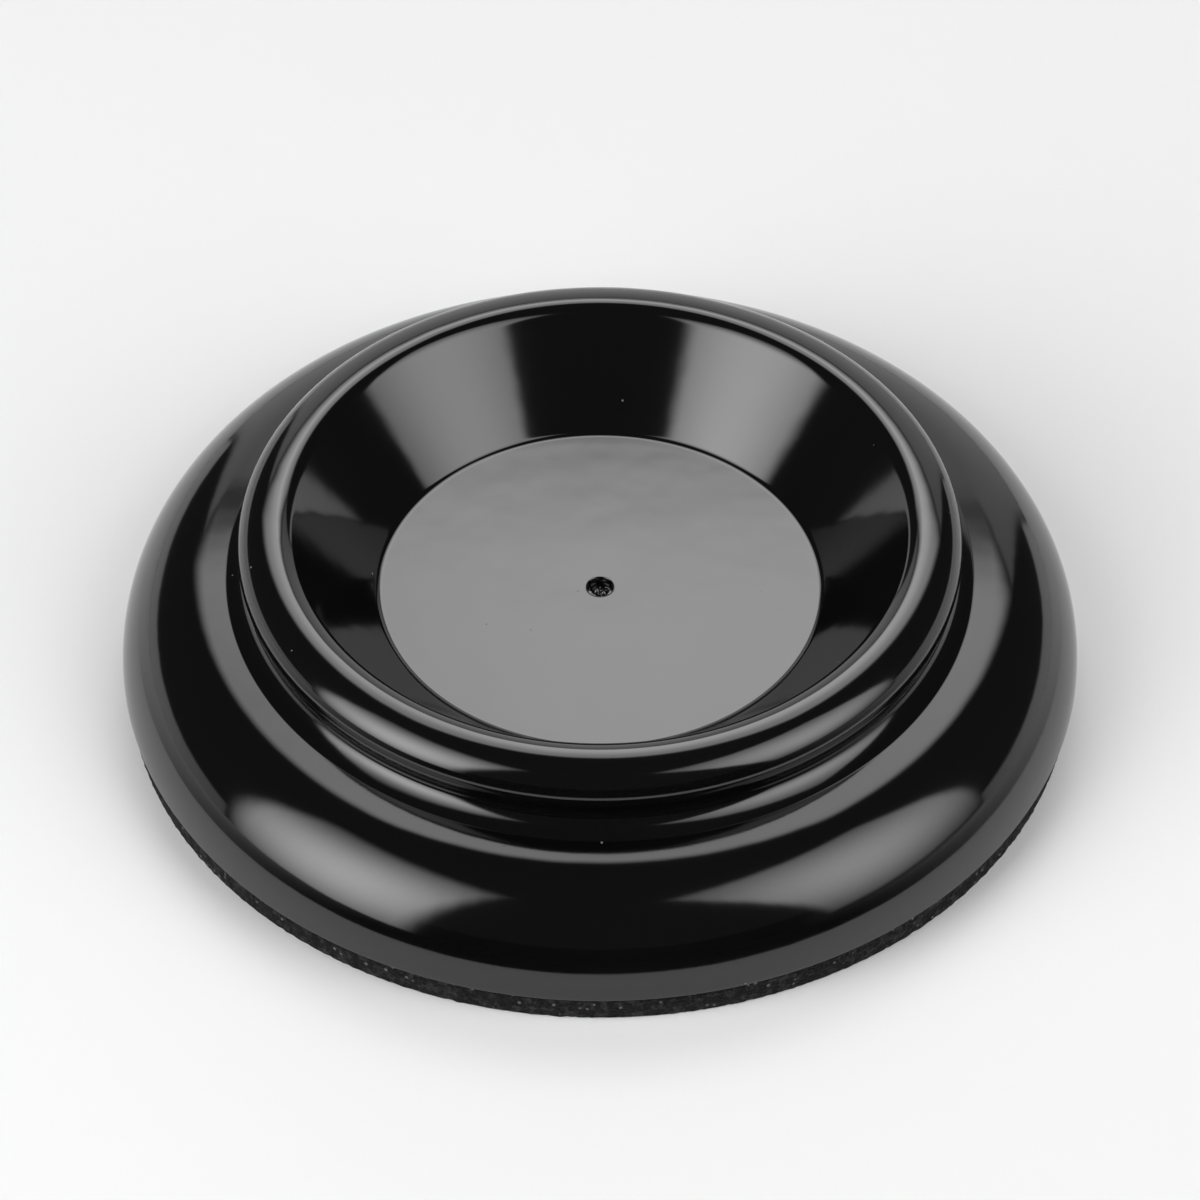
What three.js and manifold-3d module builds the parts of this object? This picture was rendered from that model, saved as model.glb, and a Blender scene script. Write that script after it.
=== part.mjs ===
// Piano caster cup: a moulded plastic cup that a caster wheel stands in, with a foam pad stuck under it.
// Millimetres, +Z up. The origin is the centre of the pad's underside.
import * as THREE from 'three';
import { mergeVertices } from 'three/addons/utils/BufferGeometryUtils.js';
import Module from 'manifold-3d';

const wasm = await Module();
wasm.setup();

// Foam pad, and the adhesive film that holds it to the shell
const PAD_THICKNESS = 3.0;
const PAD_INSET = 0.6; // pad's edge inside the foot's widest circle
const FILM_THICKNESS = 0.2;
const FILM_INSET = 0.5; // film's edge inside the pad's edge

// Bowl: flat floor, conical wall, and the pit that the broken sprue leaves in the floor
const FLOOR_DIAMETER = 45.4; // flat part of the floor
const FLOOR_FILLET = 0.9;
const BOWL_DEPTH = 10.2;
const BOWL_WALL_RUN = 9.2; // level distance that the wall covers between its sharp corners
const GATE_DIAMETER = 2.8;
const GATE_DEPTH = 0.8;
const GATE_STUB_HEIGHT = 0.35;

// Rim, the flattened bead outside it, and the neck drawn in under the bead
const RIM_ROUNDING = 2.3;
const RIM_FLAT_WIDTH = 0.2;
const BEAD_WIDTH = 3.85; // from the bead's crest out to its widest circle
const BEAD_HEIGHT = 3.05; // from the bead's crest down to its widest circle
const BEAD_UNDERCUT = THREE.MathUtils.degToRad(25); // how far the bead turns under past its widest circle
const NECK_HEIGHT = 7.4; // from the foot of the neck's cove up to the rim
const NECK_REACH = 1.28; // foot of the neck's cove, outside the bead's widest circle
const NECK_PULL = 0.64; // fullness of the cove's curve below the bead, as a share of its span
const COVE_PULL = 0.36; // fullness of the cove's curve at the shoulder, as a share of its span
const COVE_SLOPE = THREE.MathUtils.degToRad(22); // slope of the cove where it meets the shoulder

// Foot: gently sloping shoulder, then an elliptic bulge that turns upright at the bottom edge
const SHOULDER_WIDTH = 2.35;
const SHOULDER_SLOPE = THREE.MathUtils.degToRad(7);
const BULGE_WIDTH = 8.97; // from the shoulder's outer edge to the foot's widest circle
const BULGE_HEIGHT = 11.1; // from the shell's bottom edge up to the foot of the neck's cove
const EDGE_ROUNDING = 0.2;

// Hollow underside, and the ribs that carry the floor
const WALL = 2.6;
const FLOOR_THICKNESS = 2.8;
const CORE_TIP_WIDTH = 1.0; // blunt top of the hollow inside the rim
const RIB_COUNT = 8;
const RIB_THICKNESS = 2.0;
const RIB_RING_DIAMETER = 38.0; // middle of the ring rib
const HUB_DIAMETER = 12.0;

// Facets round the axis
const SEGMENTS = 64;

// Levels
const shellBottom = PAD_THICKNESS + FILM_THICKNESS;
const shoulderTop = shellBottom + BULGE_HEIGHT;
const rimTop = shoulderTop + NECK_HEIGHT;
const floorTop = rimTop - BOWL_DEPTH;
const floorUnderside = floorTop - FLOOR_THICKNESS;

// Radii, from the bowl outwards
const wallAngle = Math.atan2(BOWL_DEPTH, BOWL_WALL_RUN);
const cornerReach = Math.tan(wallAngle / 2); // tangent length of a rounded wall corner, per unit of radius
const floorCornerRadius = FLOOR_DIAMETER / 2 + FLOOR_FILLET * cornerReach;
const rimCornerRadius = floorCornerRadius + BOWL_WALL_RUN;
const beadCentreRadius = rimCornerRadius + RIM_ROUNDING * cornerReach + RIM_FLAT_WIDTH;
const shoulderRadius = beadCentreRadius + BEAD_WIDTH + NECK_REACH;
const footRadius = shoulderRadius + SHOULDER_WIDTH + BULGE_WIDTH;
const padRadius = footRadius - PAD_INSET;
const filmRadius = padRadius - FILM_INSET;

// Ellipse of the bulge: it leaves the shoulder along its slope and is upright at the foot's widest circle
const bulgeDrop = BULGE_HEIGHT - EDGE_ROUNDING - SHOULDER_WIDTH * Math.tan(SHOULDER_SLOPE);
const crownShare = (Math.tan(SHOULDER_SLOPE) * BULGE_WIDTH) / bulgeDrop;
const bulgeStart = Math.acos(crownShare / (1 - crownShare));
const bulgeRadiusR = BULGE_WIDTH / (1 - Math.cos(bulgeStart));
const bulgeRadiusZ = bulgeDrop / Math.sin(bulgeStart);
const bulgeCentreRadius = footRadius - bulgeRadiusR;

// Points on an ellipse arc about (r, z), from one angle to another, both ends included
function arc(r, z, radiusR, radiusZ, from, to, steps) {
  return Array.from({ length: steps + 1 }, (_, i) => {
    const angle = from + ((to - from) * i) / steps;
    return new THREE.Vector2(r + radiusR * Math.cos(angle), z + radiusZ * Math.sin(angle));
  });
}

// The neck's cove: a cubic that leaves the bead along its tangent and meets the shoulder at a slope
function neckCurve(start, heading, end, slope) {
  const span = start.distanceTo(end);
  const uphill = new THREE.Vector2(-Math.cos(slope), Math.sin(slope));
  const leave = start.clone().addScaledVector(heading, NECK_PULL * span);
  const arrive = end.clone().addScaledVector(uphill, COVE_PULL * span);
  return new THREE.CubicBezierCurve(start, leave, arrive, end).getPoints(8);
}

const quarter = Math.PI / 2;
const beadLevel = rimTop - BEAD_HEIGHT;
const bead = arc(beadCentreRadius, beadLevel, BEAD_WIDTH, BEAD_HEIGHT, quarter, -BEAD_UNDERCUT, 9);
const turnInward = -BEAD_WIDTH * Math.sin(BEAD_UNDERCUT);
const turnDown = -BEAD_HEIGHT * Math.cos(BEAD_UNDERCUT);
const underBead = new THREE.Vector2(turnInward, turnDown).normalize();
const neckFoot = new THREE.Vector2(shoulderRadius, shoulderTop);
const neck = neckCurve(bead.at(-1), underBead, neckFoot, COVE_SLOPE);

// Outside of the shell, from the gate pit over the rim to the bottom edge, and across to the axis
function outerProfile() {
  const pit = floorTop - GATE_DEPTH;
  const gate = [
    new THREE.Vector2(0, pit + GATE_STUB_HEIGHT),
    new THREE.Vector2(GATE_DIAMETER / 4, pit),
    new THREE.Vector2(GATE_DIAMETER / 2, pit),
    new THREE.Vector2(GATE_DIAMETER / 2, floorTop),
  ];
  const wallFoot = arc(FLOOR_DIAMETER / 2, floorTop + FLOOR_FILLET, FLOOR_FILLET, FLOOR_FILLET,
    -quarter, wallAngle - quarter, 3);
  const rimFlatStart = beadCentreRadius - RIM_FLAT_WIDTH;
  const rimEdge = arc(rimFlatStart, rimTop - RIM_ROUNDING, RIM_ROUNDING, RIM_ROUNDING,
    quarter + wallAngle, quarter, 4);
  const edgeLevel = shellBottom + EDGE_ROUNDING;
  const bulge = arc(bulgeCentreRadius, edgeLevel, bulgeRadiusR, bulgeRadiusZ, bulgeStart, 0, 12);
  const edge = arc(footRadius - EDGE_ROUNDING, edgeLevel, EDGE_ROUNDING, EDGE_ROUNDING, 0, -quarter, 2);
  const bottom = new THREE.Vector2(0, shellBottom);
  return [...gate, ...wallFoot, ...rimEdge, ...bead, ...neck.slice(1), ...bulge, ...edge.slice(1), bottom];
}

// Hollow underside: under the floor, up inside the rim, down inside the bulge, and across to the axis
function hollowProfile() {
  const bulge = arc(bulgeCentreRadius, shellBottom, bulgeRadiusR - WALL, BULGE_HEIGHT - WALL, quarter, 0, 6);
  const insideNeck = Math.min(...neck.map((point) => point.x)) - WALL;
  const underWall = floorCornerRadius + WALL / Math.sin(wallAngle);
  const slope = Math.tan(wallAngle);
  const tipTop = floorTop + (insideNeck - CORE_TIP_WIDTH - underWall) * slope;
  return [
    new THREE.Vector2(0, floorUnderside),
    new THREE.Vector2(underWall - FLOOR_THICKNESS / slope, floorUnderside),
    new THREE.Vector2(insideNeck - CORE_TIP_WIDTH, tipTop),
    new THREE.Vector2(insideNeck, tipTop),
    new THREE.Vector2(insideNeck, shoulderTop - WALL),
    ...bulge,
    new THREE.Vector2(0, shellBottom),
  ];
}

// A profile of (radius, height) points turned about the Z axis
function turned(profile) {
  return new THREE.LatheGeometry([...profile].reverse(), SEGMENTS).rotateX(quarter);
}

// Closed geometry to solid, and back
function toSolid(geometry) {
  const bare = geometry.clone();
  bare.deleteAttribute('normal');
  bare.deleteAttribute('uv');
  const merged = mergeVertices(bare);
  const index = merged.index.array;
  const triVerts = [];
  for (let i = 0; i < index.length; i += 3) {
    const [a, b, c] = index.slice(i, i + 3);
    if (a !== b && b !== c && c !== a) {
      triVerts.push(a, b, c);
    }
  }
  const mesh = new wasm.Mesh({
    numProp: 3,
    vertProperties: new Float32Array(merged.attributes.position.array),
    triVerts: new Uint32Array(triVerts),
  });
  return new wasm.Manifold(mesh);
}

function toGeometry(solid) {
  const mesh = solid.getMesh();
  const geometry = new THREE.BufferGeometry();
  geometry.setAttribute('position', new THREE.BufferAttribute(mesh.vertProperties, 3));
  geometry.setIndex(new THREE.BufferAttribute(mesh.triVerts, 1));
  geometry.computeVertexNormals();
  return geometry;
}

// Radial ribs, ring rib and hub, as tall as the shell: the moulding keeps what stands in its hollow
function ribs() {
  const height = rimTop - shellBottom;
  const middle = shellBottom + height / 2;
  const hub = new THREE.CylinderGeometry(HUB_DIAMETER / 2, HUB_DIAMETER / 2, height, SEGMENTS / 2);
  let solid = toSolid(hub.rotateX(quarter).translate(0, 0, middle));
  const inside = (RIB_RING_DIAMETER - RIB_THICKNESS) / 2;
  const ring = [
    new THREE.Vector2(inside, rimTop),
    new THREE.Vector2(inside + RIB_THICKNESS, rimTop),
    new THREE.Vector2(inside + RIB_THICKNESS, shellBottom),
    new THREE.Vector2(inside, shellBottom),
    new THREE.Vector2(inside, rimTop),
  ];
  solid = solid.add(toSolid(turned(ring)));
  for (let i = 0; i < RIB_COUNT; i += 1) {
    const rib = new THREE.BoxGeometry(footRadius, RIB_THICKNESS, height).translate(footRadius / 2, 0, middle);
    solid = solid.add(toSolid(rib.rotateZ((i * 2 * Math.PI) / RIB_COUNT)));
  }
  return solid;
}

// A level disc between two heights
function disc(radius, bottom, top) {
  return turned([
    new THREE.Vector2(0, top),
    new THREE.Vector2(radius, top),
    new THREE.Vector2(radius, bottom),
    new THREE.Vector2(0, bottom),
  ]);
}

const blackGloss = new THREE.MeshStandardMaterial({ color: 0x0c0c0d, roughness: 0.16, metalness: 0 });
const filmGrey = new THREE.MeshStandardMaterial({ color: 0x2b2b2c, roughness: 0.6, metalness: 0 });
const foamBlack = new THREE.MeshStandardMaterial({ color: 0x1b1b1c, roughness: 0.92, metalness: 0 });

function piece(name, geometry, material) {
  const mesh = new THREE.Mesh(geometry, material);
  mesh.name = name;
  return mesh;
}

const casterCup = new THREE.Group();
const pockets = toSolid(turned(hollowProfile())).subtract(ribs());
const shell = toSolid(turned(outerProfile())).subtract(pockets);
casterCup.add(piece('cup_shell', toGeometry(shell), blackGloss));
casterCup.add(piece('adhesive_film', disc(filmRadius, PAD_THICKNESS, shellBottom), filmGrey));
casterCup.add(piece('foam_pad', disc(padRadius, 0, PAD_THICKNESS), foamBlack));

export default casterCup;
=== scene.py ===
"""Piano caster cup: a gloss black moulded cup with a foam pad stuck under it, on a pale studio floor."""

import bpy
import numpy as np
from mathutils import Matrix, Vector


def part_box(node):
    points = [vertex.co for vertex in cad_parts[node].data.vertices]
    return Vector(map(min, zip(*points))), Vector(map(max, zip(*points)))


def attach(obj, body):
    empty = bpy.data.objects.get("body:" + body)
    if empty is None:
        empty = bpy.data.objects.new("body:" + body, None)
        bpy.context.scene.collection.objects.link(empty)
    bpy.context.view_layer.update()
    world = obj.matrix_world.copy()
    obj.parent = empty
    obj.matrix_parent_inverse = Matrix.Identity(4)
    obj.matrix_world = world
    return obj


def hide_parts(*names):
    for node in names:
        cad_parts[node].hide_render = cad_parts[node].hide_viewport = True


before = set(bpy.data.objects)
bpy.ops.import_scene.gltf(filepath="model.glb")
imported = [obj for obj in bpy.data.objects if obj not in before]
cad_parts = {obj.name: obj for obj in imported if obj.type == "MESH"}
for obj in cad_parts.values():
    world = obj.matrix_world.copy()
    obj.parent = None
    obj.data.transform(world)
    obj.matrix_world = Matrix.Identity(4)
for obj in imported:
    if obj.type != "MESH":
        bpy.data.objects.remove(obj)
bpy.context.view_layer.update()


# Cup shell
# One injection moulding in gloss black ABS: a conical bowl for the caster wheel, a beaded rim, a drawn-in
# neck and a bulging foot. It is hollow from below, with ribs that carry the bowl's floor down to the pad.
MM = 0.001
shell_low, shell_high = (np.array(corner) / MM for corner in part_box("cup_shell"))
foot_radius = shell_high[0]
shell_bottom = shell_low[2]
rim_top = shell_high[2]

floor_radius = 22.7
floor_fillet = 0.9
bowl_depth = 10.2
bowl_wall_run = 9.2
gate_radius = 1.4
gate_taper = 0.86
gate_depth = 0.8
gate_lip = 0.08
gate_sink = 0.03
gate_sink_reach = 4.0
rim_rounding = 2.3
rim_flat = 0.2
bead_width = 3.85
bead_height = 3.05
bead_undercut = 25.0
neck_height = 7.4
neck_reach = 1.28
neck_pull = 0.64
cove_pull = 0.36
cove_slope = 22.0
shoulder_width = 2.35
shoulder_slope = 7.0
edge_rounding = 0.2
wall = 2.6
floor_thickness = 2.8
core_tip_width = 1.0
rib_count = 8
rib_half_thickness = 1.0
rib_ring_radius = 19.0
hub_radius = 6.0
draft = 0.15
sharpest_smooth_angle = 40

bowl_floor = rim_top - bowl_depth
shoulder_top = rim_top - neck_height
wall_angle = np.degrees(np.arctan2(bowl_depth, bowl_wall_run))
corner_reach = np.tan(np.radians(wall_angle / 2))
wall_foot = floor_radius + floor_fillet * corner_reach
bead_centre = wall_foot + bowl_wall_run + rim_rounding * corner_reach + rim_flat
shoulder_start = bead_centre + bead_width + neck_reach
bulge_level = shell_bottom + edge_rounding
bulge_run = foot_radius - shoulder_start - shoulder_width
shoulder_fall = np.tan(np.radians(shoulder_slope))
bulge_drop = shoulder_top - bulge_level - shoulder_width * shoulder_fall
crown_share = shoulder_fall * bulge_run / bulge_drop
bulge_start = np.arccos(crown_share / (1 - crown_share))
bulge_width = bulge_run / (1 - np.cos(bulge_start))
bulge_height = bulge_drop / np.sin(bulge_start)
bulge_centre = foot_radius - bulge_width


def arc(centre, radii, start, end, steps):
    """Ellipse arc: the centre plus the radii times the cosine and sine of an angle from start to end."""
    angle = np.radians(np.linspace(start, end, steps + 1))
    return np.array(centre) + np.array(radii) * np.stack([np.cos(angle), np.sin(angle)], 1)


def run(start, end, steps):
    """Straight run from start to end, its points crowded towards both ends by a half turn of a cosine."""
    share = (1 - np.cos(np.linspace(0, np.pi, steps + 1))) / 2
    return np.array(start) + share[:, None] * (np.array(end) - np.array(start))


def cubic(start, leave, arrive, end, steps):
    """Bezier curve: four points weighted by the cubic Bernstein polynomials of a parameter from 0 to 1."""
    t = np.linspace(0, 1, steps + 1)[:, None]
    weights = ((1 - t) ** 3, 3 * t * (1 - t) ** 2, 3 * t ** 2 * (1 - t), t ** 3)
    points = (start, leave, arrive, end)
    return sum(weight * np.array(point) for weight, point in zip(weights, points))


def chain(*stretches):
    """Stretches of (radius, height) points end to end, with the point that two of them share kept once."""
    return np.concatenate([stretches[0], *(stretch[1:] for stretch in stretches[1:])])


def outside_section():
    """Section of everything that shows, from the gate pit over the rim to the shell's bottom edge."""
    pit = bowl_floor - gate_depth
    pit_floor = run((0, pit), (gate_radius * gate_taper, pit), 12)
    pit_wall = run(pit_floor[-1], (gate_radius, bowl_floor - gate_lip), 4)
    pit_lip = arc((gate_radius + gate_lip, bowl_floor - gate_lip), (gate_lip, gate_lip), 180, 90, 4)
    fillet = arc((floor_radius, bowl_floor + floor_fillet), (floor_fillet, floor_fillet),
                 -90, wall_angle - 90, 12)
    rim_edge = arc((bead_centre - rim_flat, rim_top - rim_rounding), (rim_rounding, rim_rounding),
                   90 + wall_angle, 90, 14)
    bead = arc((bead_centre, rim_top - bead_height), (bead_width, bead_height), 90, -bead_undercut, 32)
    neck_foot = np.array([shoulder_start, shoulder_top])
    span = np.linalg.norm(neck_foot - bead[-1])
    turned_under, sloped = np.radians(bead_undercut), np.radians(cove_slope)
    heading = np.array([-bead_width * np.sin(turned_under), -bead_height * np.cos(turned_under)])
    leave = bead[-1] + neck_pull * span * heading / np.linalg.norm(heading)
    arrive = neck_foot + cove_pull * span * np.array([-np.cos(sloped), np.sin(sloped)])
    neck = cubic(bead[-1], leave, arrive, neck_foot, 36)
    bulge = arc((bulge_centre, bulge_level), (bulge_width, bulge_height), np.degrees(bulge_start), 0, 44)
    edge = arc((foot_radius - edge_rounding, bulge_level), (edge_rounding, edge_rounding), 0, -90, 8)
    bowl_flat = run(pit_lip[-1], fillet[0], 18)
    bowl_wall = run(fillet[-1], rim_edge[0], 12)
    rim_land = run(rim_edge[-1], bead[0], 5)
    shoulder = run(neck_foot, bulge[0], 6)
    return chain(pit_floor, pit_wall, pit_lip, bowl_flat, fillet, bowl_wall, rim_edge, rim_land, bead, neck,
                 shoulder, bulge, edge)


def hollow_section(neck_inside):
    """Section of the hollow between two ribs, from the bottom edge up inside the rim, down under the bowl's
    floor and past the ring rib to the hub: a quarter ellipse a wall inside the bulge, then straight runs."""
    cavity_radii = (bulge_width - wall, shoulder_top - wall - shell_bottom)
    cavity = arc((bulge_centre, shell_bottom), cavity_radii, 0, 90, 12)
    slope = np.tan(np.radians(wall_angle))
    under_wall = wall_foot + wall / np.sin(np.radians(wall_angle))
    floor_under = bowl_floor - floor_thickness
    tip_top = bowl_floor + (neck_inside - draft - core_tip_width - under_wall) * slope
    ring_out, ring_in = rib_ring_radius + rib_half_thickness, rib_ring_radius - rib_half_thickness
    corners = [(neck_inside, shoulder_top - wall), (neck_inside - draft, tip_top),
               (neck_inside - draft - core_tip_width, tip_top),
               (under_wall - floor_thickness / slope, floor_under),
               (ring_out + draft, floor_under), (ring_out, shell_bottom), (ring_in, shell_bottom),
               (ring_in - draft, floor_under), (hub_radius + draft, floor_under), (hub_radius, shell_bottom),
               (0, shell_bottom)]
    return np.concatenate([cavity, corners])


def rib_angles(radius, columns):
    """Angles of the columns at each radius: a few lie across each rib, whose sides stay parallel because the
    angle of a side is the arcsine of half the rib's thickness over the radius, and the rest spread over the
    pocket. Also gives which columns lie on a rib."""
    per_half = columns // rib_count // 2
    place = np.arange(columns) % (2 * per_half)
    from_rib = np.minimum(place, 2 * per_half - place)
    side = np.where(place <= per_half, 1, -1)
    nearest = np.round(np.arange(columns) / (2 * per_half)) * 2 * np.pi / rib_count
    flank = 5
    foot = flank + 1
    reach = np.maximum(radius, hub_radius)[:, None]
    top = np.arcsin(rib_half_thickness / reach)
    root = np.arcsin((rib_half_thickness + draft) / reach)
    pocket = root + (np.pi / rib_count - root) * (from_rib - foot) / (per_half - foot)
    offset = np.where(from_rib <= flank, top * from_rib / flank, pocket)
    return nearest + side * offset, from_rib <= flank


def torn_stub(x, y):
    """Height of the sprue's torn end in the pit: a sum of Gaussian bumps, each with its height, the x and y
    of its centre and its width, which make peaks with a cleft between them."""
    bumps = ((0.42, -0.30, 0.12, 0.34), (0.34, 0.38, -0.16, 0.26), (0.22, 0.08, 0.52, 0.22),
             (-0.20, 0.06, -0.05, 0.16), (0.18, -0.12, -0.55, 0.20), (-0.14, 0.62, 0.34, 0.20))
    return sum(height * np.exp(-((x - at_x) ** 2 + (y - at_y) ** 2) / width ** 2)
               for height, at_x, at_y, width in bumps)


def skin(name, points):
    """Closed skin over rings of points: rows run from the upper pole over the outside to the lower pole,
    columns go round, quads join neighbouring rings, and the first and last ring shrink to one point each."""
    rows, columns = points.shape[:2]
    rings = points[1:-1].reshape(-1, 3)
    vertices = np.concatenate([points[:1, 0], rings, points[-1:, 0]]) * MM
    ring, column = np.meshgrid(np.arange(rows - 3), np.arange(columns), indexing="ij")
    following = (column + 1) % columns
    corners = [ring * columns + column, (ring + 1) * columns + column,
               (ring + 1) * columns + following, ring * columns + following]
    quads = np.stack(corners, -1).reshape(-1, 4) + 1
    around = np.arange(columns)
    beside = (around + 1) % columns
    last = len(vertices) - 1
    upper = np.stack([np.zeros_like(around), around + 1, beside + 1], 1)
    lower = np.stack([np.full_like(around, last), last - columns + beside, last - columns + around], 1)
    mesh = bpy.data.meshes.new(name)
    mesh.from_pydata(vertices.tolist(), [], quads.tolist() + upper.tolist() + lower.tolist())
    mesh.shade_smooth()
    mesh.validate()
    piece = bpy.data.objects.new(name, mesh)
    bpy.context.scene.collection.objects.link(piece)
    return piece


def shell_points():
    """Rings of the whole shell: the outside section turned about the axis, with the pit's torn stub and the
    slight sink round the gate, then the hollow section turned in columns that follow the ribs, which reach
    the bottom. The sink is a Gaussian of the radius, and the stub fades out by its fourth power."""
    columns = 384
    above_shoulder = 1.0
    outside = outside_section()
    level = outside[:, 1]
    in_neck = (level < rim_top - bead_height) & (level > shoulder_top + above_shoulder)
    neck_inside = outside[in_neck & (outside[:, 0] > bead_centre), 0].min() - wall
    hollow = hollow_section(neck_inside)
    even = np.linspace(0, 2 * np.pi, columns, endpoint=False)
    warped, on_rib = rib_angles(hollow[:, 0], columns)
    radius = np.concatenate([outside[:, 0], hollow[:, 0]])[:, None]
    angle = np.concatenate([np.broadcast_to(even, (len(outside), columns)), warped])
    under = np.where(on_rib, shell_bottom, hollow[:, 1:])
    height = np.concatenate([np.repeat(outside[:, 1:], columns, 1), under])
    x, y = radius * np.cos(angle), radius * np.sin(angle)
    in_pit = (radius < gate_radius) & (height > shell_bottom + floor_thickness)
    height = height + in_pit * torn_stub(x, y) * np.clip(1 - (radius / gate_radius) ** 4, 0, 1)
    on_floor = (radius < floor_radius) & (height > bowl_floor - gate_lip)
    height = height - on_floor * gate_sink * np.exp(-(radius / gate_sink_reach) ** 2)
    return np.stack([x, y, height], -1)


def add_node(tree, kind, settings=None, **inputs):
    """Adds a shader node, sets its properties, and sets or links its sockets by name, with _ for a space."""
    made = tree.nodes.new("ShaderNode" + kind)
    for name, value in (settings or {}).items():
        setattr(made, name, value)
    for name, value in inputs.items():
        socket = next(s for s in made.inputs if s.enabled and s.name == name.replace("_", " "))
        if isinstance(value, bpy.types.NodeSocket):
            tree.links.new(value, socket)
        else:
            socket.default_value = value
    return made


def result(made, name):
    """The output of a node that is in use under a name."""
    return next(s for s in made.outputs if s.enabled and s.name == name)


def new_finish(name):
    """A new material, with its node tree and its surface shader."""
    material = bpy.data.materials.new(name)
    material.use_nodes = True
    return material, material.node_tree, material.node_tree.nodes["Principled BSDF"]


def speck_group():
    """Node group for dust specks and for painted highlight specks: a mask of round specks, one in each of a
    share of the
    Voronoi cells, full out to a core and fading from there to the speck's radius."""
    core = 0.5
    group = bpy.data.node_groups.new("specks", "ShaderNodeTree")
    for name in ("Scale", "Radius", "Share"):
        group.interface.new_socket(name, in_out="INPUT", socket_type="NodeSocketFloat")
    group.interface.new_socket("Mask", in_out="OUTPUT", socket_type="NodeSocketFloat")
    given = group.nodes.new("NodeGroupInput")
    place = add_node(group, "TexCoord")
    cells = add_node(group, "TexVoronoi", Vector=result(place, "Object"), Scale=given.outputs["Scale"])
    inner = add_node(group, "Math", {"operation": "MULTIPLY"})
    group.links.new(given.outputs["Radius"], inner.inputs[0])
    inner.inputs[1].default_value = core
    disc = add_node(group, "MapRange", Value=result(cells, "Distance"), From_Min=given.outputs["Radius"],
                    From_Max=inner.outputs[0])
    parts = add_node(group, "SeparateColor", Color=result(cells, "Color"))
    chosen = add_node(group, "Math", {"operation": "LESS_THAN"})
    group.links.new(parts.outputs["Red"], chosen.inputs[0])
    group.links.new(given.outputs["Share"], chosen.inputs[1])
    mask = add_node(group, "Math", {"operation": "MULTIPLY"})
    group.links.new(result(disc, "Result"), mask.inputs[0])
    group.links.new(chosen.outputs[0], mask.inputs[1])
    group.links.new(mask.outputs[0], group.nodes.new("NodeGroupOutput").inputs["Mask"])
    return group


specks = speck_group()


def add_specks(tree, scale, radius, share):
    """Adds the speck group to a material and gives its mask. Scale is in cells to the metre, radius in
    cells, and share is the part of the cells that hold a speck."""
    made = tree.nodes.new("ShaderNodeGroup")
    made.node_tree = specks
    made.inputs["Scale"].default_value = scale
    made.inputs["Radius"].default_value = radius
    made.inputs["Share"].default_value = share
    return made.outputs["Mask"]


def gloss_black():
    """Gloss ABS: a mirror skin with the mould's faint waves, hazy patches in the polish and some dust."""
    deep_black = (0.0018, 0.0018, 0.0019, 1)
    soft_black = (0.0034, 0.0034, 0.0035, 1)
    dust_grey = (0.16, 0.16, 0.155, 1)
    dust_dulling = 0.5
    wave_depth = 0.000014
    peel_depth = 0.0000005
    material, tree, surface = new_finish("gloss_black_abs")
    place = add_node(tree, "TexCoord")
    at = result(place, "Object")
    dust = add_specks(tree, scale=420, radius=0.065, share=0.09)
    tint = add_node(tree, "TexNoise", Vector=at, Scale=35, Detail=3)
    black = add_node(tree, "Mix", {"data_type": "RGBA"}, Factor=result(tint, "Fac"),
                     A=deep_black, B=soft_black)
    colour = add_node(tree, "Mix", {"data_type": "RGBA"}, Factor=dust,
                      A=result(black, "Result"), B=dust_grey)
    haze = add_node(tree, "TexNoise", Vector=at, Scale=60, Detail=4)
    polish = add_node(tree, "MapRange", Value=result(haze, "Fac"), From_Min=0.3, From_Max=0.7,
                      To_Min=0.065, To_Max=0.10)
    dull = add_node(tree, "Math", {"operation": "MULTIPLY_ADD", "use_clamp": True})
    tree.links.new(dust, dull.inputs[0])
    dull.inputs[1].default_value = dust_dulling
    tree.links.new(result(polish, "Result"), dull.inputs[2])
    waves = add_node(tree, "TexNoise", Vector=at, Scale=240, Detail=1)
    mould = add_node(tree, "Bump", Height=result(waves, "Fac"), Distance=wave_depth, Strength=1)
    grain = add_node(tree, "TexNoise", Vector=at, Scale=1400, Detail=1)
    peel = add_node(tree, "Bump", Height=result(grain, "Fac"), Distance=peel_depth, Strength=1,
                    Normal=result(mould, "Normal"))
    tree.links.new(result(colour, "Result"), surface.inputs["Base Color"])
    tree.links.new(dull.outputs[0], surface.inputs["Roughness"])
    tree.links.new(result(peel, "Normal"), surface.inputs["Normal"])
    surface.inputs["IOR"].default_value = 1.62
    return material


cup_shell = skin("cup_shell_moulding", shell_points())
cup_shell.data.set_sharp_from_angle(angle=np.radians(sharpest_smooth_angle))
cup_shell.data.materials.append(gloss_black())
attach(cup_shell, "root")
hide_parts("cup_shell")


# Adhesive film
# Thin double-sided film, stuck to the shell's bottom edge and ribs. It holds the pad, and its edge stays a
# little inside both, so it shows only as a dark line between them.
film_low, film_high = (np.array(corner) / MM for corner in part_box("adhesive_film"))
film_corner = 0.04


def disc_points(low, high, corner, columns):
    """Rings of a level disc: a flat top, a side with rounded corners and a flat underside, turned about the
    axis."""
    radius, bottom, top = high[0], low[2], high[2]
    section = chain(run((0, top), (radius - corner, top), 8),
                    arc((radius - corner, top - corner), (corner, corner), 90, 0, 4),
                    run((radius, top - corner), (radius, bottom + corner), 4),
                    arc((radius - corner, bottom + corner), (corner, corner), 0, -90, 4),
                    run((radius - corner, bottom), (0, bottom), 8))
    angle = np.linspace(0, 2 * np.pi, columns, endpoint=False)
    around, height = section[:, :1], np.repeat(section[:, 1:], columns, 1)
    return np.stack([around * np.cos(angle), around * np.sin(angle), height], -1)


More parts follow.
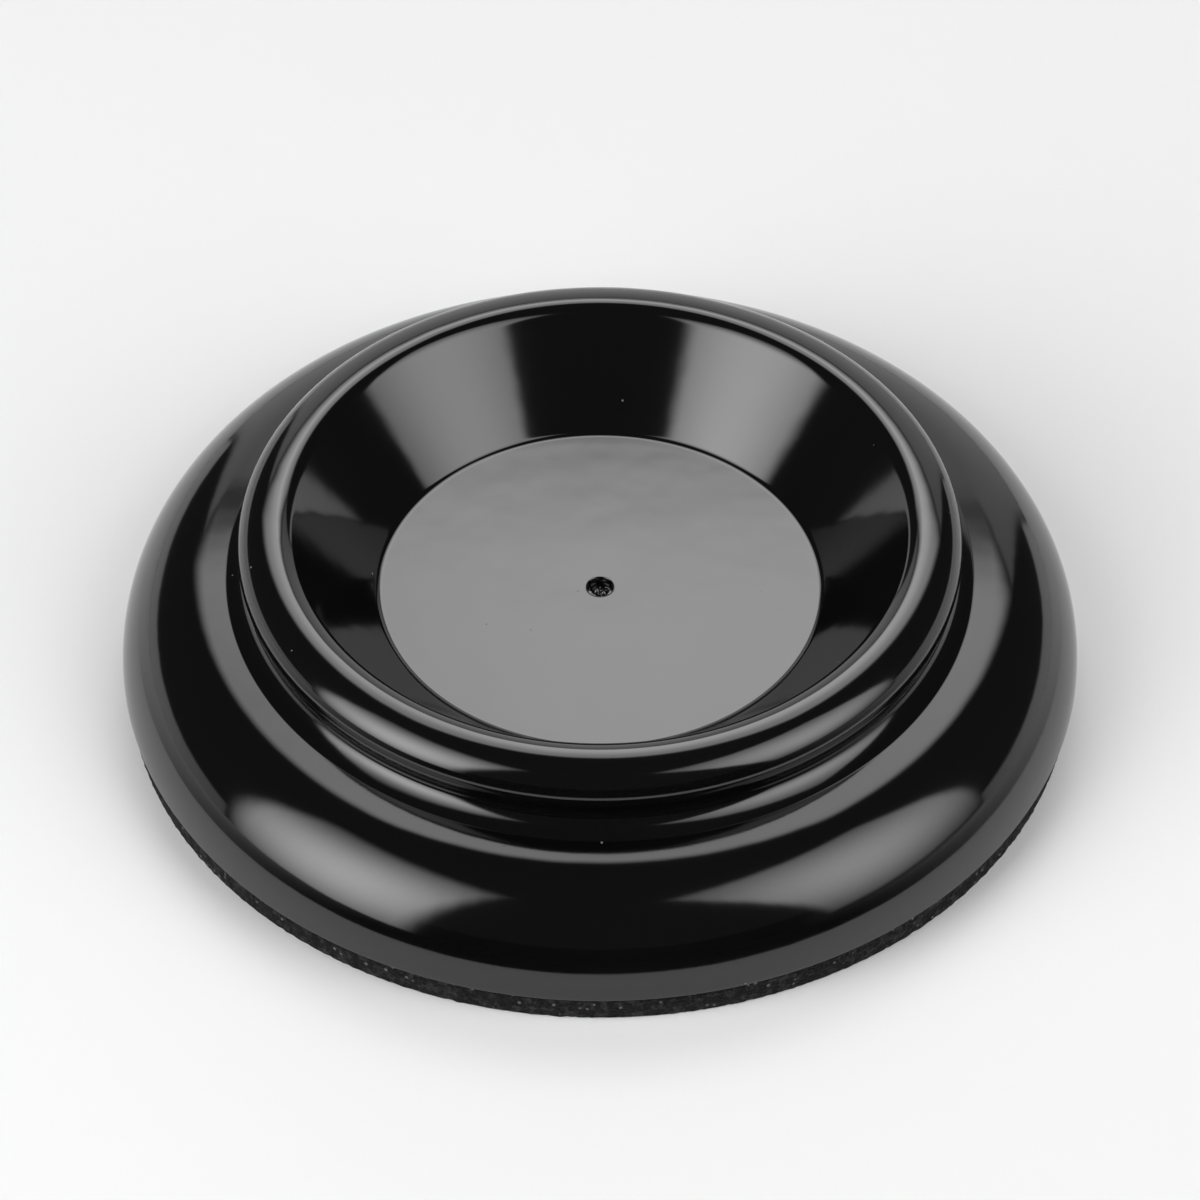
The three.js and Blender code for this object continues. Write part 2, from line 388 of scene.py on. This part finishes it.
def film_finish():
    """Dull dark film, slightly mottled where its glue has wetted out."""
    wetted_grey = (0.014, 0.014, 0.014, 1)
    dry_grey = (0.030, 0.030, 0.031, 1)
    material, tree, surface = new_finish("adhesive_film_grey")
    place = add_node(tree, "TexCoord")
    mottle = add_node(tree, "TexNoise", Vector=result(place, "Object"), Scale=220, Detail=3)
    colour = add_node(tree, "Mix", {"data_type": "RGBA"}, Factor=result(mottle, "Fac"),
                      A=wetted_grey, B=dry_grey)
    dull = add_node(tree, "MapRange", Value=result(mottle, "Fac"), To_Min=0.5, To_Max=0.7)
    tree.links.new(result(colour, "Result"), surface.inputs["Base Color"])
    tree.links.new(result(dull, "Result"), surface.inputs["Roughness"])
    return material


film = skin("adhesive_film_disc", disc_points(film_low, film_high, film_corner, columns=192))
film.data.materials.append(film_finish())
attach(film, "root")
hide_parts("adhesive_film")


# Foam pad
# Die-cut disc of black closed-cell EVA foam, pressed onto the film. The cut opens cells round its edge;
# their shine is
# # painted into the foam's colour as fine light specks, painted highlights, and the soft edge is never quite
# true.
pad_low, pad_high = (np.array(corner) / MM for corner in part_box("foam_pad"))
pad_corner = 0.25
pad_bulge = 0.10
pad_drift = 0.10
pad_cells = 0.09
pad_edge_band = 2.0


def edge_waves(angle, height, seed, waves, longest, shortest):
    """Unevenness of a cut edge, mostly between -1 and 1: a sum of cosines in angle and height, whose turns
    round the edge, rises over its height and phases are drawn from a seed."""
    steepness = 0.03
    draw = np.random.default_rng(seed)
    turns = draw.integers(longest, shortest, waves)[:, None, None]
    rise = draw.normal(0, steepness * shortest, waves)[:, None, None]
    phase = draw.uniform(0, 2 * np.pi, waves)[:, None, None]
    return np.cos(turns * angle + rise * height + phase).sum(0) / np.sqrt(waves) / 2


def pad_points():
    """Rings of the pad: a disc whose side swells as a parabola about mid height and strays from its circle
    by edge waves, long ones from the die and short ones from the cut cells."""
    columns = 768
    points = disc_points(pad_low, pad_high, pad_corner, columns)
    height = points[..., 2]
    middle, half = (pad_high[2] + pad_low[2]) / 2, (pad_high[2] - pad_low[2]) / 2
    radius = np.hypot(points[..., 0], points[..., 1])
    angle = np.linspace(0, 2 * np.pi, columns, endpoint=False)[None]
    swell = pad_bulge * (1 - ((height - middle) / half) ** 2)
    drift = pad_drift * edge_waves(angle, height, seed=3, waves=9, longest=2, shortest=11)
    cut_cells = pad_cells * edge_waves(angle, height, seed=5, waves=60, longest=90, shortest=330)
    at_edge = np.clip((radius - pad_high[0] + pad_edge_band) / pad_edge_band, 0, 1) ** 2
    scale = 1 + at_edge * (swell + drift + cut_cells) / np.maximum(radius, 1)
    points[..., :2] *= scale[..., None]
    return points


def eva_foam():
    """Closed-cell foam: cells darker towards their middles by painted shade in their hollows, grey patches,
    painted highlights as light specks from cut cells, and lint.
    """
    # The darkest colour is painted shade in the cell hollows, and the foam itself is the next colour.
    painted_hollow_shade = (0.0005, 0.0005, 0.0005, 1)
    wall_black = (0.0075, 0.0075, 0.0077, 1)
    patch_grey = (0.027, 0.027, 0.0275, 1)
    # The light speck grey below is a painted highlight, not the foam's own colour.
    painted_glint_grey = (0.12, 0.12, 0.12, 1)
    lint_grey = (0.34, 0.34, 0.335, 1)
    cell_depth = 0.00022
    material, tree, surface = new_finish("black_eva_foam")
    place = add_node(tree, "TexCoord")
    at = result(place, "Object")
    cells = add_node(tree, "TexVoronoi", Vector=at, Scale=2600)
    patches = add_node(tree, "TexNoise", Vector=at, Scale=1100, Detail=3, Roughness=0.7)
    # Darker towards each cell's middle, where the bump sinks it: painted shade.
    shade = add_node(tree, "MapRange", Value=result(cells, "Distance"), From_Min=0.1, From_Max=0.7)
    cells_with_painted_shade = add_node(tree, "Mix", {"data_type": "RGBA"}, Factor=result(shade, "Result"),
                     A=painted_hollow_shade, B=wall_black)
    depth = add_node(tree, "MapRange", Value=result(patches, "Fac"), From_Min=0.50, From_Max=0.62)
    base = add_node(tree, "Mix", {"data_type": "RGBA"}, Factor=result(depth, "Result"),
                    A=result(cells_with_painted_shade, "Result"), B=patch_grey)
    # Light specks in a share of small cells: painted highlights where cut cells would catch the light.
    painted_glint_mask = add_specks(tree, scale=1500, radius=0.34, share=0.16)
    painted_glint_colour = add_node(tree, "Mix", {"data_type": "RGBA"}, Factor=painted_glint_mask, A=result(base, "Result"),
                      B=painted_glint_grey)
    lint = add_specks(tree, scale=420, radius=0.11, share=0.28)
    colour = add_node(tree, "Mix", {"data_type": "RGBA"}, Factor=lint, A=result(painted_glint_colour, "Result"),
                      B=lint_grey)
    dull = add_node(tree, "MapRange", Value=result(patches, "Fac"), To_Min=0.80, To_Max=0.97)
    bumps = add_node(tree, "Bump", Height=result(cells, "Distance"), Distance=cell_depth, Strength=1)
    tree.links.new(result(colour, "Result"), surface.inputs["Base Color"])
    tree.links.new(result(dull, "Result"), surface.inputs["Roughness"])
    tree.links.new(result(bumps, "Normal"), surface.inputs["Normal"])
    surface.inputs["Specular IOR Level"].default_value = 0.2
    return material


pad = skin("foam_pad_disc", pad_points())
pad.data.materials.append(eva_foam())
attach(pad, "root")
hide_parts("foam_pad")


# Studio floor
# Plain round board in a matt pale paint, well wider than the picture. The cup stands just clear of it and
# shades it.
floor_reach = 750.0
floor_drop = 0.05
floor_corner = 0.0125


def floor_points():
    """Rings of a thin level disc just under the pad."""
    low = np.array([-floor_reach, -floor_reach, -2 * floor_drop])
    high = np.array([floor_reach, floor_reach, -floor_drop])
    return disc_points(low, high, floor_corner, columns=128)


def pale_floor():
    """Matt pale paint with the faintest clouding."""
    thick_paint = (0.915, 0.915, 0.915, 1)
    thin_paint = (0.935, 0.935, 0.935, 1)
    material, tree, surface = new_finish("pale_floor")
    place = add_node(tree, "TexCoord")
    cloud = add_node(tree, "TexNoise", Vector=result(place, "Object"), Scale=6, Detail=2)
    colour = add_node(tree, "Mix", {"data_type": "RGBA"}, Factor=result(cloud, "Fac"),
                      A=thick_paint, B=thin_paint)
    tree.links.new(result(colour, "Result"), surface.inputs["Base Color"])
    surface.inputs["Roughness"].default_value = 0.9
    surface.inputs["Specular IOR Level"].default_value = 0.0
    return material


studio_floor = skin("studio_floor", floor_points())
studio_floor.data.materials.append(pale_floor())


# Studio lights
# Two softboxes flank the camera with a dark gap between them, and one hangs behind the cup over a lit wall.
# Each is a diffuser of white cloth on a four-cornered frame, brightest in front of its lamp.
light_distance = 1.1


def sight(azimuth, elevation):
    """Unit vectors at azimuths from the camera's side, to its right, and at elevations, all in degrees."""
    turn, rise = np.broadcast_arrays(np.radians(azimuth), np.radians(elevation))
    return np.stack([np.sin(turn) * np.cos(rise), -np.cos(turn) * np.cos(rise), np.sin(rise)], -1)


def softbox(name, low_edge, high_edge, lamp, brightness, hot_reach, dimmest, soft_edge):
    """Diffuser between two edges, each (left azimuth, right azimuth, elevation): its points are weighted
    bilinearly from the four corners. Its brightness falls from the lamp's direction, as a Gaussian of the
    tangent of the angle to it, down to its dimmest share, and fades by a smooth step over the soft edge,
    which is a share of the frame."""
    steps = 32
    share = np.linspace(0, 1, steps)
    across, up = (grid[..., None] for grid in np.meshgrid(share, share, indexing="ij"))
    low_left, low_right = sight(np.array(low_edge[:2], float), low_edge[2])
    high_left, high_right = sight(np.array(high_edge[:2], float), high_edge[2])
    low = low_left * (1 - across) + low_right * across
    high = high_left * (1 - across) + high_right * across
    way = low * (1 - up) + high * up
    towards = way @ sight(*np.array(lamp, float)) / np.linalg.norm(way, axis=-1)
    off_lamp = 1 / towards ** 2 - 1
    glow = brightness * (dimmest + (1 - dimmest) * np.exp(-off_lamp / hot_reach ** 2))
    inward = np.minimum(np.minimum(across, 1 - across), np.minimum(up, 1 - up))[..., 0]
    fade = np.clip(inward / soft_edge, 0, 1)
    glow = glow * fade ** 2 * (3 - 2 * fade)
    column, row = np.meshgrid(np.arange(steps - 1), np.arange(steps - 1), indexing="ij")
    first = column * steps + row
    quads = np.stack([first, first + 1, first + steps + 1, first + steps], -1).reshape(-1, 4)
    mesh = bpy.data.meshes.new(name)
    mesh.from_pydata((way * light_distance).reshape(-1, 3).tolist(), [], quads.tolist())
    shine = mesh.attributes.new("glow", "FLOAT", "POINT")
    shine.data.foreach_set("value", glow.ravel().astype(np.float32))
    panel = bpy.data.objects.new(name, mesh)
    bpy.context.scene.collection.objects.link(panel)
    panel.visible_camera = False
    panel.data.materials.append(diffuser)


def diffuser_cloth():
    """White diffuser lit from behind: it shines on both sides as its glow attribute says."""
    material = bpy.data.materials.new("diffuser_cloth")
    material.use_nodes = True
    tree = material.node_tree
    tree.nodes.clear()
    glow = add_node(tree, "Attribute", {"attribute_name": "glow"})
    shine = add_node(tree, "Emission", Strength=result(glow, "Fac"))
    add_node(tree, "OutputMaterial", Surface=result(shine, "Emission"))
    return material


diffuser = diffuser_cloth()
softbox("left_softbox", low_edge=(-83, -38, -10), high_edge=(-99, -25, 62), lamp=(-57, 28),
        brightness=5.8, hot_reach=0.55, dimmest=0.0, soft_edge=0.13)
softbox("right_softbox", low_edge=(47, 88, 2), high_edge=(19, 98, 62), lamp=(61, 37),
        brightness=3.9, hot_reach=0.55, dimmest=0.0, soft_edge=0.06)
softbox("back_softbox", low_edge=(213, 141, 33), high_edge=(213, 141, 65), lamp=(178, 46),
        brightness=4.5, hot_reach=0.18, dimmest=0.52, soft_edge=0.2)
softbox("back_wall", low_edge=(206, 143, -1), high_edge=(206, 143, 36), lamp=(180, 18),
        brightness=1.0, hot_reach=0.9, dimmest=0.0, soft_edge=0.04)


# Black cloth
# Black velvet laid on the floor round the front and sides and hung up behind the softboxes, to keep the far
# floor out of the gloss. Only reflections see it, and it thins out round the sides to its two ends.
cloth_start = 0.074
cloth_end = 1.2
cloth_lift = 0.0005
cloth_hang = 0.30
cloth_reach = 120.0
cloth_fade = 85.0


def black_velvet():
    """Velvet that swallows nearly all light, see-through where its cover attribute falls to nothing."""
    pile_shade = (0.004, 0.004, 0.004, 1)
    pile_tip = (0.008, 0.008, 0.008, 1)
    material, tree, surface = new_finish("black_velvet")
    place = add_node(tree, "TexCoord")
    pile = add_node(tree, "TexNoise", Vector=result(place, "Object"), Scale=900, Detail=2)
    colour = add_node(tree, "Mix", {"data_type": "RGBA"}, Factor=result(pile, "Fac"),
                      A=pile_shade, B=pile_tip)
    cover = add_node(tree, "Attribute", {"attribute_name": "cover"})
    tree.links.new(result(colour, "Result"), surface.inputs["Base Color"])
    tree.links.new(result(cover, "Fac"), surface.inputs["Alpha"])
    surface.inputs["Roughness"].default_value = 1.0
    surface.inputs["Specular IOR Level"].default_value = 0.0
    return material


def cloth_points(azimuths):
    """Sheet of a line carried round the cup's axis: level from the inner to the far edge, then upright."""
    line = np.array([(cloth_start, cloth_lift), (cloth_end, cloth_lift), (cloth_end, cloth_hang)])
    around = sight(azimuths, 0.0)
    return line[:, None, :1] * around[None] + line[:, None, 1:] * np.array([0, 0, 1])


def cloth_sheet():
    """Mesh of the cloth: quads join neighbouring points of the sheet, and the cover fades by a smooth step
    of the azimuth from whole at the front to nothing at the two ends."""
    azimuths = np.linspace(-cloth_reach, cloth_reach, 161)
    points = cloth_points(azimuths)
    rows, columns = points.shape[:2]
    row, column = np.meshgrid(np.arange(rows - 1), np.arange(columns - 1), indexing="ij")
    first = row * columns + column
    quads = np.stack([first, first + 1, first + columns + 1, first + columns], -1).reshape(-1, 4)
    mesh = bpy.data.meshes.new("black_cloth")
    mesh.from_pydata(points.reshape(-1, 3).tolist(), [], quads.tolist())
    share = np.clip((cloth_reach - np.abs(azimuths)) / cloth_fade, 0, 1)
    cover = np.tile(share ** 2 * (3 - 2 * share), rows).astype(np.float32)
    mesh.attributes.new("cover", "FLOAT", "POINT").data.foreach_set("value", cover)
    return mesh


velvet_mesh = cloth_sheet()
velvet_mesh.materials.append(black_velvet())
velvet = bpy.data.objects.new("black_cloth", velvet_mesh)
bpy.context.scene.collection.objects.link(velvet)
velvet.visible_camera = False
velvet.visible_diffuse = False
velvet.visible_shadow = False


# Studio surroundings
# A dark room above a pale horizon, as a plain world with no picture in it. The gloss shows it as black
# between the softboxes.
room_dark = 0.04
horizon_pale = 0.85
horizon_top = 0.13
horizon_fade = 0.04

world = bpy.data.worlds.new("studio_room")
world.use_nodes = True
bpy.context.scene.world = world
room = world.node_tree
way = add_node(room, "TexCoord")
parts = add_node(room, "SeparateXYZ", Vector=result(way, "Generated"))
level = add_node(room, "MapRange", {"interpolation_type": "SMOOTHSTEP"}, Value=result(parts, "Z"),
                 From_Min=horizon_top, From_Max=horizon_top + horizon_fade,
                 To_Min=horizon_pale, To_Max=room_dark)
room.links.new(result(level, "Result"), room.nodes["Background"].inputs["Strength"])
room.nodes["Background"].inputs["Color"].default_value = (1, 1, 1, 1)
bpy.context.scene.view_settings.view_transform = "Standard"


# Camera
# Long lens from about 0.6 m, looking down into the bowl at the photograph's angle. The distance is measured
# from the middle of the bowl's floor.
camera_elevation = np.radians(44.7)
camera_distance = 0.596
camera_lens = 172.0
camera_sensor = 36.0
camera_target = Vector((0, 0, 0.0095))
bowl_middle = Vector((0, 0, bowl_floor * MM))

lens = bpy.data.cameras.new("studio_camera")
lens.lens = camera_lens
lens.sensor_width = camera_sensor
camera = bpy.data.objects.new("studio_camera", lens)
bpy.context.scene.collection.objects.link(camera)
away = Vector((0, -np.cos(camera_elevation), np.sin(camera_elevation)))
camera.location = bowl_middle + camera_distance * away
camera.rotation_euler = (camera_target - camera.location).to_track_quat("-Z", "Y").to_euler()
bpy.context.scene.camera = camera
